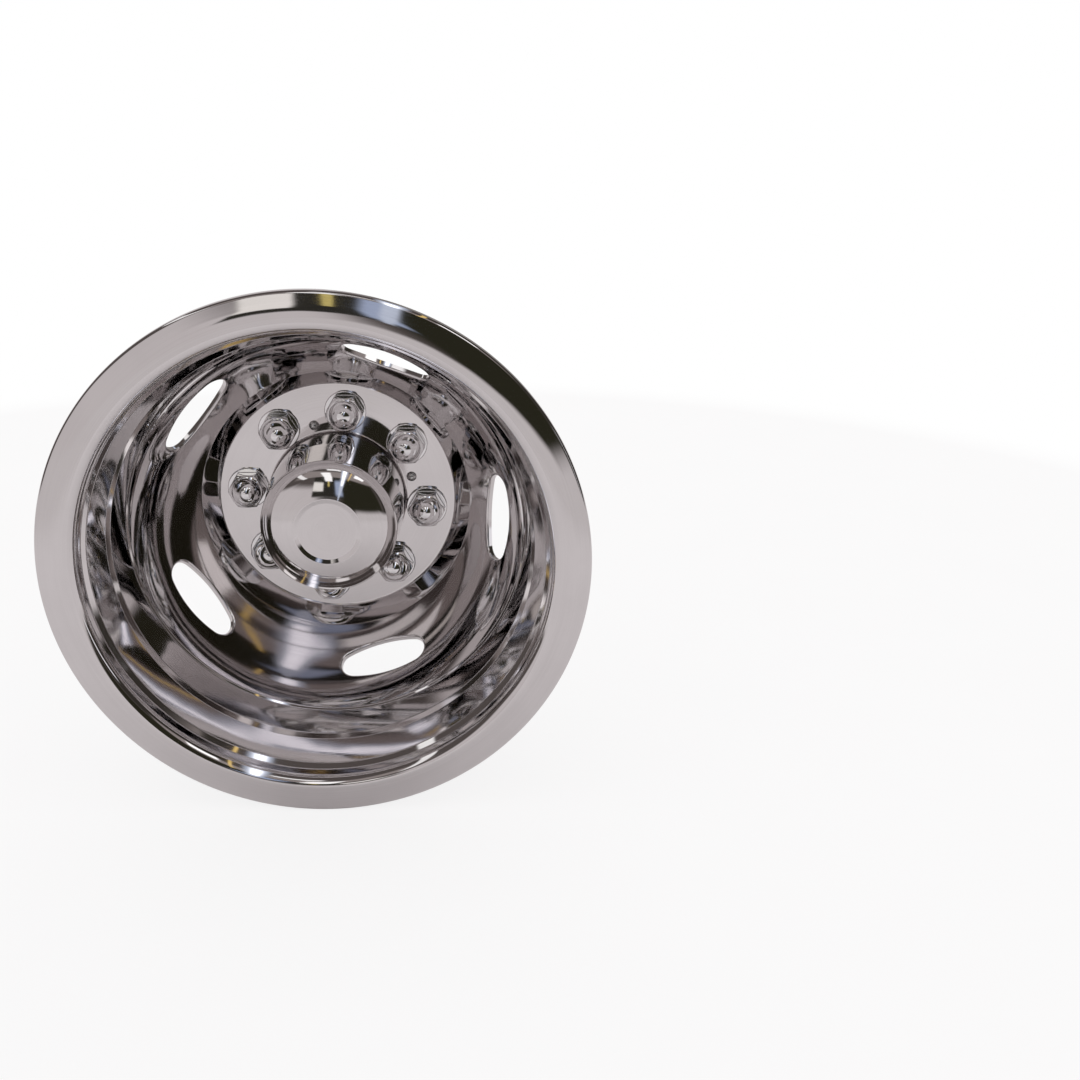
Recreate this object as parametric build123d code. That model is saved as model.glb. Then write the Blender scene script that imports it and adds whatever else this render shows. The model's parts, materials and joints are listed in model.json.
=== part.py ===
"""Truck wheel simulator: the deep stainless cover of a rear dual wheel with eight studs.

It is drawn lying on its back, with its axle along Z and its face towards +Z, and is stood
up at the end, so that the axle lies along Y, the face looks towards -Y and Z is up.
Heights are measured outwards from the front of the lug seat. All sizes are in millimetres.
"""
import math
import os

from build123d import *

# Wheel that the simulator covers
stud_circle = 165.1
stud_count = 8
hand_hole_count = 5
rivet_count = 4
bottom = -90.0           # direction of the wheel's lowest place, degrees
turned = 16.2            # how far the lowest hand hole is turned past it

# Sheet and fits
sheet = 1.0
slip = 0.1               # clearance round a rivet or the neck of a nut cover
grip_slip = 0.05         # clearance left where the retainer's fingers grip the neck
past = 1.0               # how far a cutting tool runs past the metal
hub_gap = 2.4            # dark gap between the liner and the hub barrel
hub_cover_gap = 1.35     # room between the hub barrel and the skirts of the nut covers
bend_share = 0.97        # most of a straight run that the bend at its end may take

# Liner, from its lip inwards
lip_diameter = 444.4
dish_depth = 186.3       # lip edge down to the front of the lug seat
lip_skirt = 5.8
lip_bend = 2.2
crown_rise = 4.2
crown_width = 16.4
crown_bend = 48.0
flange_width = 31.6
shoulder_bend = 8.5
shoulder_drop = 11.7     # lip edge down to the foot of the shoulder
shoulder_taper = 1.4
throat_step = 3.8
throat_drop = 4.4
barrel_taper = 7.9
barrel_length = 28.4
ledge_step = 2.9
ledge_drop = 5.3
band_taper = 3.4
bead_step = 1.9
bead_drop = 2.1
crease_bend = 2.0
bowl_height = 97.3       # lug seat up to the bead over the bowl
bowl_lean = 8.4          # how far the upper bowl leans in over its height
bowl_belly = 48.8        # height where the bowl's two straight tangents cross
bowl_bend = 128.0
step_rise = 16.7
step_run = 14.0
step_bend = 3.0
seat_margin = 25.75      # stud circle out to the foot of the step

# Hand holes
hand_hole_reach = 0.60   # place along the bowl's curve, from its bead to its foot
hand_hole_half_width = 16.5
hand_hole_outer_bend = 140.0
hand_hole_inner_bend = 90.0
hand_hole_end_bend = 12.5
collar_depth = 5.0
collar_bend = 1.8        # round at the face
collar_root_bend = 1.0   # round where the collar leaves the back of the bowl

# Hub cap
hub_straight = 40.0
hub_height = 68.0
hub_taper = 1.4
hub_shoulder_bend = 5.0
hub_shoulder_width = 7.0
hub_shoulder_rise = 3.4
dome_rise = 32.5
dome_run = 23.2
dome_fullness = 5.5
dome_swell = 20.6
dome_bend = 50.0
badge_bevel = 4.0
badge_recess = 1.5
hub_flange_width = 16.8
hub_foot_bend = 2.2
soft_crease = 0.9

# Nut covers
cover_skirt_diameter = 38.0
cover_skirt_height = 2.4
cover_skirt_round = 1.1
cover_across_flats = 30.0
cover_corner_height = 11.5   # the hexagon's corners round off above this
cover_shoulder_height = 16.5
cover_shoulder_diameter = 26.4
cover_height = 26.5
cover_wall = 1.0
socket_diameter = 27.0
socket_foot = 1.0        # height where the socket's straight wall starts
socket_depth = 12.0      # straight part of the socket
neck_bore_diameter = 27.6
neck_wall = 0.8
neck_length = 3.6        # stands out behind the liner

# Push-on retainers behind the liner
retainer_width = 2.3
retainer_thickness = 0.8
retainer_lip = 1.0
retainer_clearance = 0.4
finger_count = 6
finger_slot = 1.2

# Rivets
rivet_inset = 8.8        # hub barrel out to the rivets
rivet_shank_diameter = 4.0
rivet_head_diameter = 8.6
rivet_head_height = 2.6
rivet_tail_diameter = 6.8
rivet_tail_height = 1.5

# Radii that follow from the sizes above
stud_radius = stud_circle / 2
lip_radius = lip_diameter / 2
hub_radius = stud_radius - cover_skirt_diameter / 2 - hub_cover_gap
rivet_radius = hub_radius + rivet_inset
centre_hole_radius = hub_radius + hub_gap
seat_radius = stud_radius + seat_margin
neck_radius = neck_bore_diameter / 2 + neck_wall
stud_hole_radius = neck_radius + slip
rivet_hole_radius = rivet_shank_diameter / 2 + slip
retainer_radius = neck_radius + retainer_width
first_hand_hole = bottom + turned
first_stud = first_hand_hole + 180 / stud_count
stud_pitch = 360 / stud_count
rivet_pitch = 360 / rivet_count
hand_hole_pitch = 360 / hand_hole_count


def around(shape, radius, start, pitch, count):
    """Copies of a shape that stands on the axle, set out on a circle."""
    places = []
    for index in range(count):
        angle = math.radians(start + index * pitch)
        places.append(Pos(radius * math.cos(angle), radius * math.sin(angle), 0) * shape)
    return places


def cap(radius, base, rise):
    """A round cap's line, from its edge at the base up to its top on the axle."""
    bend = (radius ** 2 + rise ** 2) / (2 * rise)
    half = math.atan2(rise, radius)
    middle = (bend * math.sin(half), base + rise - bend + bend * math.cos(half))
    return ThreePointArc((radius, base), middle, (0, base + rise))


def held_bend(before, corner, after, bend):
    """A bend's radius, made smaller where the runs on either side are too short for it."""
    runs = [Vector(*corner) - Vector(*before), Vector(*after) - Vector(*corner)]
    half_turn = math.radians(runs[0].get_angle(runs[1])) / 2
    return min(bend, bend_share * min(run.length for run in runs) / math.tan(half_turn))


def pressed_sheet(points, bends, thickness=sheet):
    """A sheet spun about the axle. Its visible face runs inwards along the points, each bend
    is the radius inside it, and the back runs parallel to the face."""
    ways = [(Vector(*after) - Vector(*before)).normalized() for before, after in zip(points, points[1:])]
    sides = [Vector(-way.Y, way.X) for way in ways]
    back = [Vector(*points[0]) + sides[0] * thickness]
    face_bends = []
    back_bends = []
    for corner, bend, way, turn, side, other in zip(points[1:], bends, ways, ways[1:], sides, sides[1:]):
        back.append(Vector(*corner) + (side + other) * (thickness / (1 + side.dot(other))))
        metal_inside = way.cross(turn).Z > 0
        face_bends.append(bend + thickness if metal_inside else bend)
        back_bends.append(bend if metal_inside else bend + thickness)
    back.append(Vector(*points[-1]) + sides[-1] * thickness)
    outline = [
        FilletPolyline(*points, radius=face_bends),
        Line(points[-1], back[-1]),
        FilletPolyline(*reversed(back), radius=back_bends[::-1]),
        Line(back[0], points[0]),
    ]
    section = make_face([edge for line in outline for edge in line.edges()])
    return revolve(Plane.XZ * section, Axis.Z)


def bowl_points():
    """Head, belly and foot of the bowl as radius and height."""
    foot = (seat_radius + step_run, step_rise)
    band_head = lip_radius - flange_width - shoulder_taper - throat_step - barrel_taper - ledge_step
    head = (band_head - band_taper - bead_step, bowl_height)
    belly = (head[0] - bowl_lean, bowl_belly)
    return head, belly, foot


def liner_points():
    """The visible face of the liner from the edge of its lip in to its centre hole."""
    head, belly, foot = bowl_points()
    bead = (head[0] + bead_step, bowl_height + bead_drop)
    shoulder_foot = (lip_radius - flange_width - shoulder_taper, dish_depth - shoulder_drop)
    barrel_head = (shoulder_foot[0] - throat_step, shoulder_foot[1] - throat_drop)
    barrel_foot = (barrel_head[0] - barrel_taper, barrel_head[1] - barrel_length)
    band_head = (barrel_foot[0] - ledge_step, barrel_foot[1] - ledge_drop)
    crown = dish_depth + crown_rise
    return [
        (lip_radius, dish_depth - lip_skirt),
        (lip_radius, dish_depth),
        (lip_radius - crown_width, crown),
        (lip_radius - flange_width, crown),
        shoulder_foot,
        barrel_head,
        barrel_foot,
        band_head,
        bead,
        head,
        belly,
        foot,
        (seat_radius, 0),
        (centre_hole_radius, 0),
    ]


def bowl_curve():
    """The face of the bowl, from its head to its foot."""
    return FilletPolyline(*bowl_points(), radius=held_bend(*bowl_points(), bowl_bend))


def hand_hole_outline(grow):
    """Four arcs that meet smoothly: a flat outer edge, a fuller inner one and round ends."""
    half = hand_hole_half_width + grow
    outer = hand_hole_outer_bend + grow
    inner = hand_hole_inner_bend + grow
    end = hand_hole_end_bend + grow
    outer_y = half - outer
    inner_y = inner - half
    outer_reach = outer - end
    inner_reach = inner - end
    balance = outer_reach ** 2 - inner_reach ** 2 + inner_y ** 2 - outer_y ** 2
    end_y = balance / (2 * (inner_y - outer_y))
    end_x = math.sqrt(inner_reach ** 2 - (end_y - inner_y) ** 2)
    stretch = outer / outer_reach
    top = (end_x * stretch, outer_y + (end_y - outer_y) * stretch)
    stretch = inner / inner_reach
    low = (end_x * stretch, inner_y + (end_y - inner_y) * stretch)
    edges = [
        ThreePointArc((-top[0], top[1]), (0, half), top),
        ThreePointArc(top, (end_x + end, end_y), low),
        ThreePointArc(low, (0, -half), (-low[0], low[1])),
        ThreePointArc((-low[0], low[1]), (-end_x - end, end_y), (-top[0], top[1])),
    ]
    return make_face(edges)


def hand_hole_plane():
    """Plane that touches the bowl at a hand hole, with its Y along the slant outwards."""
    curve = bowl_curve()
    spot = curve @ hand_hole_reach
    inwards = curve % hand_hole_reach
    origin = Vector(spot.X, 0, spot.Y)
    across = Vector(0, -1, 0)
    return Plane(origin, x_dir=across, z_dir=across.cross(Vector(-inwards.X, 0, -inwards.Y)))


def hand_hole_edges(liner, depth):
    """Edges of the hand holes that lie this deep under the face of the bowl."""
    curve = bowl_curve()
    found = []
    for edge in liner.edges():
        spot = edge @ 0.5
        away = curve.distance_to(Vector(math.hypot(spot.X, spot.Y), spot.Z))
        if edge.geom_type not in (GeomType.LINE, GeomType.CIRCLE) and abs(away - depth) < slip:
            found.append(edge)
    return found


def make_liner():
    """The pressed liner: lip, barrel, bowl with turned-in hand holes, step and lug seat."""
    belly_bend = held_bend(*bowl_points(), bowl_bend)
    bends = [lip_bend, crown_bend, shoulder_bend, step_bend, step_bend, step_bend, crease_bend,
             crease_bend, crease_bend, belly_bend, step_bend, step_bend]
    liner = pressed_sheet(liner_points(), bends)
    deep_bowl = pressed_sheet(bowl_points(), [belly_bend], collar_depth)
    plane = hand_hole_plane()
    reach = 2 * collar_depth + hand_hole_half_width
    pad = extrude(plane * hand_hole_outline(sheet), reach, both=True) & deep_bowl
    punch = extrude(plane * hand_hole_outline(0), reach, both=True)
    for index in range(hand_hole_count):
        place = Rot(0, 0, first_hand_hole + index * hand_hole_pitch)
        liner += place * pad
        liner -= place * punch
    liner = fillet(hand_hole_edges(liner, sheet), collar_root_bend)
    liner = fillet(hand_hole_edges(liner, 0), collar_bend)
    stud_hole = Cylinder(stud_hole_radius, 2 * (sheet + past))
    rivet_hole = Cylinder(rivet_hole_radius, 2 * (sheet + past))
    liner -= around(stud_hole, stud_radius, first_stud, stud_pitch, stud_count)
    liner -= around(rivet_hole, rivet_radius, first_hand_hole, rivet_pitch, rivet_count)
    return liner


def make_hub_cap():
    """The drawn hub cap: notched flange behind the seat, barrel, shoulder, dome and badge flat."""
    edge = hub_radius - hub_taper
    crease = (edge - hub_shoulder_width, hub_height + hub_shoulder_rise)
    rim = (crease[0] - dome_run, crease[1] + dome_rise)
    flat = (rim[0] - badge_bevel, rim[1] - badge_recess)
    points = [
        (hub_radius + hub_flange_width, -sheet),
        (hub_radius, -sheet),
        (hub_radius, hub_straight),
        (edge, hub_height),
        crease,
        (crease[0] - dome_fullness, crease[1] + dome_swell),
        rim,
        flat,
        (0, flat[1]),
    ]
    bends = [hub_foot_bend, hub_shoulder_bend, hub_shoulder_bend, soft_crease, dome_bend,
             soft_crease, soft_crease]
    hub = pressed_sheet(points, bends)
    notch = Cylinder(retainer_radius + retainer_clearance, 2 * (2 * sheet + past))
    rivet_hole = Cylinder(rivet_hole_radius, 2 * (2 * sheet + past))
    hub -= around(notch, stud_radius, first_stud, stud_pitch, stud_count)
    hub -= around(rivet_hole, rivet_radius, first_hand_hole, rivet_pitch, rivet_count)
    return hub


def make_nut_cover():
    """A hollow cover over one lug nut: round skirt, hexagon, domed end and neck."""
    hex_radius = cover_across_flats / 2 / math.cos(math.radians(30))
    shoulder = cover_shoulder_diameter / 2
    skirt = fillet(
        Cylinder(cover_skirt_diameter / 2, cover_skirt_height, align=(Align.CENTER, Align.CENTER, Align.MIN))
        .edges().sort_by(Axis.Z)[-1], cover_skirt_round)
    hexagon = extrude(RegularPolygon(hex_radius, 6), cover_shoulder_height)
    crown_line = [
        Line((0, 0), (hex_radius, 0)),
        Line((hex_radius, 0), (hex_radius, cover_corner_height)),
        TangentArc((hex_radius, cover_corner_height), (shoulder, cover_shoulder_height), tangent=(0, 1)),
        cap(shoulder, cover_shoulder_height, cover_height - cover_shoulder_height),
        Line((0, cover_height), (0, 0)),
    ]
    envelope = revolve(Plane.XZ * make_face(crown_line), Axis.Z)
    dome = envelope & Pos(0, 0, cover_shoulder_height) * Cylinder(
        hex_radius, cover_height, align=(Align.CENTER, Align.CENTER, Align.MIN))
    body = skirt + (hexagon & envelope) + dome
    body += Pos(0, 0, -sheet - neck_length) * Cylinder(
        neck_radius, sheet + neck_length, align=(Align.CENTER, Align.CENTER, Align.MIN))
    bore = socket_diameter / 2
    neck_bore = neck_bore_diameter / 2
    low = -sheet - neck_length - past
    top = cover_height - cover_wall
    tight = shoulder - cover_wall
    socket_top = socket_foot + socket_depth
    socket_line = [
        Line((0, low), (neck_bore, low)),
        Line((neck_bore, low), (neck_bore, 0)),
        Line((neck_bore, 0), (bore, socket_foot)),
        Line((bore, socket_foot), (bore, socket_top)),
        Line((bore, socket_top), (tight, cover_shoulder_height)),
        cap(tight, cover_shoulder_height, top - cover_shoulder_height),
        Line((0, top), (0, low)),
    ]
    return body - revolve(Plane.XZ * make_face(socket_line), Axis.Z)


def make_retainer():
    """A push-on ring: flat washer with a raised lip whose fingers grip the neck."""
    lip_radius_out = neck_radius + slip + retainer_thickness
    washer = Cylinder(retainer_radius, retainer_thickness, align=(Align.CENTER, Align.CENTER, Align.MAX))
    lip = Cylinder(lip_radius_out, retainer_thickness + retainer_lip,
                   align=(Align.CENTER, Align.CENTER, Align.MAX))
    ring = washer + lip - Cylinder(neck_radius + grip_slip, 2 * (retainer_thickness + retainer_lip + past))
    slot = Box(2 * retainer_radius, finger_slot, 2 * retainer_lip,
               align=(Align.CENTER, Align.CENTER, Align.MAX))
    for index in range(finger_count // 2):
        ring -= Rot(0, 0, index * 360 / finger_count) * Pos(0, 0, -retainer_thickness) * slot
    return Pos(0, 0, -sheet) * ring


def make_rivet():
    """A domed rivet through the liner and the flange of the hub cap, headed over behind."""
    head_radius = rivet_head_diameter / 2
    head_line = [
        Line((0, 0), (head_radius, 0)),
        cap(head_radius, 0, rivet_head_height),
        Line((0, rivet_head_height), (0, 0)),
    ]
    head = revolve(Plane.XZ * make_face(head_line), Axis.Z)
    shank = Cylinder(rivet_shank_diameter / 2, 2 * sheet, align=(Align.CENTER, Align.CENTER, Align.MAX))
    tail = Pos(0, 0, -2 * sheet) * Cylinder(
        rivet_tail_diameter / 2, rivet_tail_height, align=(Align.CENTER, Align.CENTER, Align.MAX))
    tail = fillet(tail.edges().sort_by(Axis.Z)[0], rivet_tail_height / 3)
    return head + shank + tail


def save(shape, name):
    """Stand a piece up and write it."""
    standing = Rot(90, 0, 0) * shape
    solids = standing.solids()
    export_step(solids[0] if len(solids) == 1 else Compound(children=solids), f"parts/{name}.step")


def main():
    """Write every piece of the simulator."""
    os.makedirs("parts", exist_ok=True)
    save(make_liner(), "liner")
    save(make_hub_cap(), "hub_cap")
    covers = around(make_nut_cover(), stud_radius, first_stud, stud_pitch, stud_count)
    retainers = around(make_retainer(), stud_radius, first_stud, stud_pitch, stud_count)
    rivets = around(make_rivet(), rivet_radius, first_hand_hole, rivet_pitch, rivet_count)
    for number, cover in enumerate(covers, 1):
        save(cover, f"nut_cover_{number}")
    for number, retainer in enumerate(retainers, 1):
        save(retainer, f"nut_retainer_{number}")
    for number, rivet in enumerate(rivets, 1):
        save(rivet, f"hub_rivet_{number}")


main()
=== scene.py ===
"""Looks of the deep rear wheel simulator: polished sheet, bright nut covers and a soft studio with painted
reflections.

Every piece is shaped lying on its back, with its axle along Z and its face towards +Z, in
millimetres, as the makers draw it. It is then stood up into the frame, in metres, where the
axle lies along Y and the face looks towards -Y.
"""

import json
import logging
import math
from dataclasses import dataclass
from enum import Enum

import bpy
from mathutils import Matrix, Vector

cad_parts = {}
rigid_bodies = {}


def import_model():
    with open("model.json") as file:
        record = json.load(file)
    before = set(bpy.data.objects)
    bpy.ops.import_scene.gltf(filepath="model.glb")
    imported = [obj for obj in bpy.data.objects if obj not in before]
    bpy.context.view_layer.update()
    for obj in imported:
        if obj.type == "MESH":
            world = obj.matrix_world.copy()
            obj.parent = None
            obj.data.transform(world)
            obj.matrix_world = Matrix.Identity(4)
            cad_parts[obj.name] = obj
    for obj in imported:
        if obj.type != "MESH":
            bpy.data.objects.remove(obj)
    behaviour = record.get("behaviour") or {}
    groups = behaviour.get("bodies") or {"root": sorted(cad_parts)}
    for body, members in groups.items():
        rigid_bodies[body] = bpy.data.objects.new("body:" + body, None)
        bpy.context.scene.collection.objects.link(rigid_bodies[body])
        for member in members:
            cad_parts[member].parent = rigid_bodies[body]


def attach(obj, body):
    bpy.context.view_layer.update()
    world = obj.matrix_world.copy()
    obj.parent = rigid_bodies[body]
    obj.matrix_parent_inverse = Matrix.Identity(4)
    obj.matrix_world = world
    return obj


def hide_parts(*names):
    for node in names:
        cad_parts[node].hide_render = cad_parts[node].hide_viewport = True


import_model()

LOG = logging.getLogger("wheel_simulator")
BODY = "root"
MM = 0.001
FULL_TURN = 2 * math.pi
LATHE_NORMAL = "lathe_normal"
AXLE_REACH = MM / 10
KNOWN_NORMAL = 0.5
ROUND_WEIGHT = math.cos(math.radians(45))
PEG_SIDES = 96
Corner = tuple[float, float]
Colour = tuple[float, float, float]
Socket = bpy.types.NodeSocket
Feed = Socket | float | tuple[float, ...]


def deselect_all() -> None:
    """Leave edit mode and deselect every object."""
    if bpy.context.object and bpy.context.object.mode != "OBJECT":
        bpy.ops.object.mode_set(mode="OBJECT")
    bpy.ops.object.select_all(action="DESELECT")


def take(*objects: bpy.types.Object) -> None:
    """Select only these objects and make the first the active one.

    Args:
        objects: The objects to select.
    """
    deselect_all()
    for each in objects:
        each.select_set(True)
    bpy.context.view_layer.objects.active = objects[0]


def mesh_object(name: str, points: list[Vector], edges: list[tuple[int, int]],
                faces: list[tuple[int, ...]], normals: list[Vector]) -> bpy.types.Object:
    """Make an object from points whose true normals are known.

    Args:
        name: Name of the object and its mesh.
        points: Places in millimetres.
        edges: Pairs of point numbers.
        faces: Rings of point numbers.
        normals: Each point's normal as its radial, turning and axial share.

    Returns:
        The new object.
    """
    mesh = bpy.data.meshes.new(name)
    mesh.from_pydata(points, edges, faces)
    store = mesh.attributes.new(LATHE_NORMAL, "FLOAT_VECTOR", "POINT")
    for item, normal in zip(store.data, normals):
        item.vector = normal
    made = bpy.data.objects.new(name, mesh)
    bpy.context.scene.collection.objects.link(made)
    return made


def merge_close(piece: bpy.types.Object, reach: float = 0.002) -> None:
    """Join points that lie on each other and turn the faces outwards.

    Args:
        piece: The mesh object.
        reach: Points nearer than this, in millimetres, become one.
    """
    take(piece)
    bpy.ops.object.mode_set(mode="EDIT")
    bpy.ops.mesh.select_all(action="SELECT")
    bpy.ops.mesh.remove_doubles(threshold=reach)
    bpy.ops.mesh.normals_make_consistent(inside=False)
    bpy.ops.object.mode_set(mode="OBJECT")


def apply_modifiers(piece: bpy.types.Object) -> None:
    """Apply every modifier of a piece in order.

    Args:
        piece: The mesh object.
    """
    take(piece)
    for modifier in list(piece.modifiers):
        bpy.ops.object.modifier_apply(modifier=modifier.name)


def cut(piece: bpy.types.Object, tool: bpy.types.Object) -> None:
    """Cut a tool out of a piece and throw the tool away.

    Args:
        piece: The mesh that stays.
        tool: The closed mesh that cuts.
    """
    modifier = piece.modifiers.new("cut", "BOOLEAN")
    modifier.operation = "DIFFERENCE"
    modifier.solver = "EXACT"
    modifier.object = tool
    apply_modifiers(piece)
    bpy.data.objects.remove(tool)


def join(first: bpy.types.Object, *others: bpy.types.Object) -> bpy.types.Object:
    """Join objects into the first one.

    Args:
        first: The object that stays.
        others: The objects that become part of it.

    Returns:
        The first object.
    """
    take(first, *others)
    bpy.ops.object.join()
    return first


def twin(model: bpy.types.Object) -> bpy.types.Object:
    """Copy an object together with its mesh.

    Args:
        model: The object to copy.

    Returns:
        The copy, in the scene.
    """
    piece = model.copy()
    piece.data = model.data.copy()
    bpy.context.scene.collection.objects.link(piece)
    return piece


def stand_up(piece: bpy.types.Object) -> None:
    """Bring a lying piece in millimetres into the upright frame in metres.

    Args:
        piece: The lying mesh.
    """
    piece.data.transform(Matrix.Scale(MM, 4) @ Matrix.Rotation(math.radians(90), 4, "X"))
    piece.data.update()


def rounded(start: Vector, corner: Vector, end: Vector, share: float, weight: float) -> Vector:
    """A point of a round bend between two runs that meet at a corner.

    Args:
        start: Where the bend leaves the first run.
        corner: Where the two runs would meet.
        end: Where the bend joins the second run.
        share: How far along the bend the point lies, from nothing to one.
        weight: How far the corner draws the bend towards itself.

    Returns:
        The point.
    """
    parts = ((1 - share) ** 2, 2 * weight * share * (1 - share), share ** 2)
    return (start * parts[0] + corner * parts[1] + end * parts[2]) / sum(parts)


def true_normals(piece: bpy.types.Object, sharp: float = 38.0) -> None:
    """Shade a standing turned piece with the normals of the curves that it was made from.

    A corner of a face keeps the face's own normal where the two differ by more than a sharp
    edge does, so sheet edges and hole rims stay crisp.

    Args:
        piece: A standing piece whose points carry their lathe normals.
        sharp: Degrees between face and curve above which the edge is sharp.
    """
    mesh = piece.data
    store = mesh.attributes[LATHE_NORMAL].data
    limit = math.cos(math.radians(sharp))
    curves: list[Vector] = []
    for vertex, item in zip(mesh.vertices, store):
        outwards = Vector((vertex.co.x, 0, vertex.co.z))
        outwards = outwards.normalized() if outwards.length > AXLE_REACH else Vector((1, 0, 0))
        around = Vector((-outwards.z, 0, outwards.x))
        share = item.vector
        curves.append(share.x * outwards + share.y * around + Vector((0, -share.z, 0)))
    corners: list[Vector] = [Vector((0, 0, 1))] * len(mesh.loops)
    for polygon in mesh.polygons:
        for loop in polygon.loop_indices:
            curve = curves[mesh.loops[loop].vertex_index]
            near = curve.length > KNOWN_NORMAL and curve.normalized().dot(polygon.normal) > limit
            corners[loop] = curve.normalized() if near else polygon.normal.copy()
    mesh.shade_smooth()
    mesh.normals_split_custom_set(corners)
    mesh.attributes.remove(mesh.attributes[LATHE_NORMAL])


@dataclass(frozen=True)
class LinePoint:
    """A point of a section: radius, height and the normal of the curve there."""

    radius: float
    height: float
    normal: Vector

    def at(self, angle: float) -> Vector:
        """Place on the lathe at an angle in radians."""
        return Vector((self.radius * math.cos(angle), self.radius * math.sin(angle), self.height))


@dataclass(frozen=True)
class Bend:
    """A round bend of a section at some depth under its face."""

    centre: Vector
    radius: float
    start: float
    turn: float

    def point(self, share: float, side: float) -> LinePoint:
        """Point at a share of the bend, with its normal on one side.

        Args:
            share: How far along the bend, from nothing to one.
            side: 1 for the normal away from the centre, -1 for the one towards it.

        Returns:
            The point.
        """
        angle = self.start + self.turn * share
        out = Vector((math.cos(angle), math.sin(angle)))
        spot = self.centre + self.radius * out
        return LinePoint(spot.x, spot.y, side * out)


@dataclass(frozen=True)
class SheetSection:
    """Section of a pressed sheet, whose face runs inwards along corners with a bend at each."""

    corners: tuple[Corner, ...]
    bends: tuple[float, ...]
    thickness: float
    bend_step: float = math.radians(6.5)
    back_step: float = math.radians(15)
    run_step: float = 8.0

    def _ways(self) -> list[Vector]:
        """Directions of the straight runs."""
        spots = [Vector(corner) for corner in self.corners]
        return [(after - before).normalized() for before, after in zip(spots, spots[1:])]

    def corner_at(self, index: int, depth: float) -> Vector:
        """A corner moved under the face.

        Args:
            index: Number of the corner.
            depth: How far under the face, in millimetres.

        Returns:
            Radius and height of the moved corner.
        """
        ways = self._ways()
        before = ways[max(index - 1, 0)]
        after = ways[min(index, len(ways) - 1)]
        sides = [Vector((-way.y, way.x)) for way in (before, after)]
        mitre = (sides[0] + sides[1]) * (depth / (1 + sides[0].dot(sides[1])))
        return Vector(self.corners[index]) + mitre

    def bend_at(self, index: int, depth: float) -> Bend:
        """The bend at an inner corner, at a depth under the face.

        Args:
            index: Number of the corner, from 1 to the last but one.
            depth: How far under the face, in millimetres.

        Returns:
            The bend, which starts on the run that comes in.
        """
        ways = self._ways()
        before, after = ways[index - 1], ways[index]
        turn = math.atan2(before.cross(after), before.dot(after))
        inside = turn > 0
        radius = self.bends[index - 1] + (self.thickness - depth if inside else depth)
        corner = self.corner_at(index, depth)
        centre = corner + (after - before).normalized() * (radius / math.cos(turn / 2))
        reach = radius * math.tan(abs(turn) / 2)
        spoke = corner - before * reach - centre
        return Bend(centre, radius, math.atan2(spoke.y, spoke.x), turn)

    def line(self, depth: float, first: int = 0, last: int | None = None) -> list[LinePoint]:
        """Points along the section from one corner to another.

        A bend at either end of the stretch is left out: the stretch starts where the first
        one ends and ends where the last one starts.

        Args:
            depth: How far under the face, in millimetres.
            first: Corner where the stretch starts.
            last: Corner where it ends, the last one if not given.

        Returns:
            The points, with the normal that looks out of the metal on that side.
        """
        last = len(self.corners) - 1 if last is None else last
        ways = self._ways()
        out = -1.0 if depth < self.thickness / 2 else 1.0
        points: list[LinePoint] = []
        ends: list[tuple[Vector, Vector]] = []
        rounds: dict[int, Bend] = {}
        for index in range(first, last + 1):
            if 0 < index < len(self.corners) - 1:
                rounds[index] = self.bend_at(index, depth)
        for index in range(first, last):
            start = self.corner_at(index, depth)
            stop = self.corner_at(index + 1, depth)
            if index in rounds:
                bend = rounds[index]
                spot = bend.point(1.0, 1.0)
                start = Vector((spot.radius, spot.height))
            if index + 1 in rounds:
                spot = rounds[index + 1].point(0.0, 1.0)
                stop = Vector((spot.radius, spot.height))
            ends.append((start, stop))
        for index, (start, stop) in zip(range(first, last), ends):
            way = ways[index]
            normal = Vector((-way.y, way.x)) * out
            steps = max(1, math.ceil((stop - start).length / self.run_step))
            for step in range(steps + 1):
                spot = start.lerp(stop, step / steps)
                points.append(LinePoint(spot.x, spot.y, normal))
            if index + 1 < last and index + 1 in rounds:
                bend = rounds[index + 1]
                side = -out if bend.turn > 0 else out
                long_steps = abs(bend.turn) * bend.radius / self.run_step
                fine = self.bend_step if out < 0 else self.back_step
                steps = max(2, math.ceil(abs(bend.turn) / fine), math.ceil(long_steps))
                points += [bend.point(step / steps, side) for step in range(1, steps)]
        return points


def spun(name: str, points: list[LinePoint], steps: int, start: float = 0.0) -> bpy.types.Object:
    """Spin a section about the axle.

    Args:
        name: Name of the new object.
        points: The section.
        steps: How many steps make the full turn.
        start: Angle of the section, in radians.

    Returns:
        The spun object, lying, in millimetres.
    """
    edges = [(index, index + 1) for index in range(len(points) - 1)]
    places = [point.at(start) for point in points]
    normals = [Vector((point.normal.x, 0, point.normal.y)) for point in points]
    made = mesh_object(name, places, edges, [], normals)
    take(made)
    bpy.ops.object.mode_set(mode="EDIT")
    bpy.ops.mesh.select_all(action="SELECT")
    bpy.ops.mesh.spin(steps=steps, angle=FULL_TURN, use_auto_merge=True, center=(0, 0, 0), axis=(0, 0, 1))
    bpy.ops.object.mode_set(mode="OBJECT")
    return made


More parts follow.
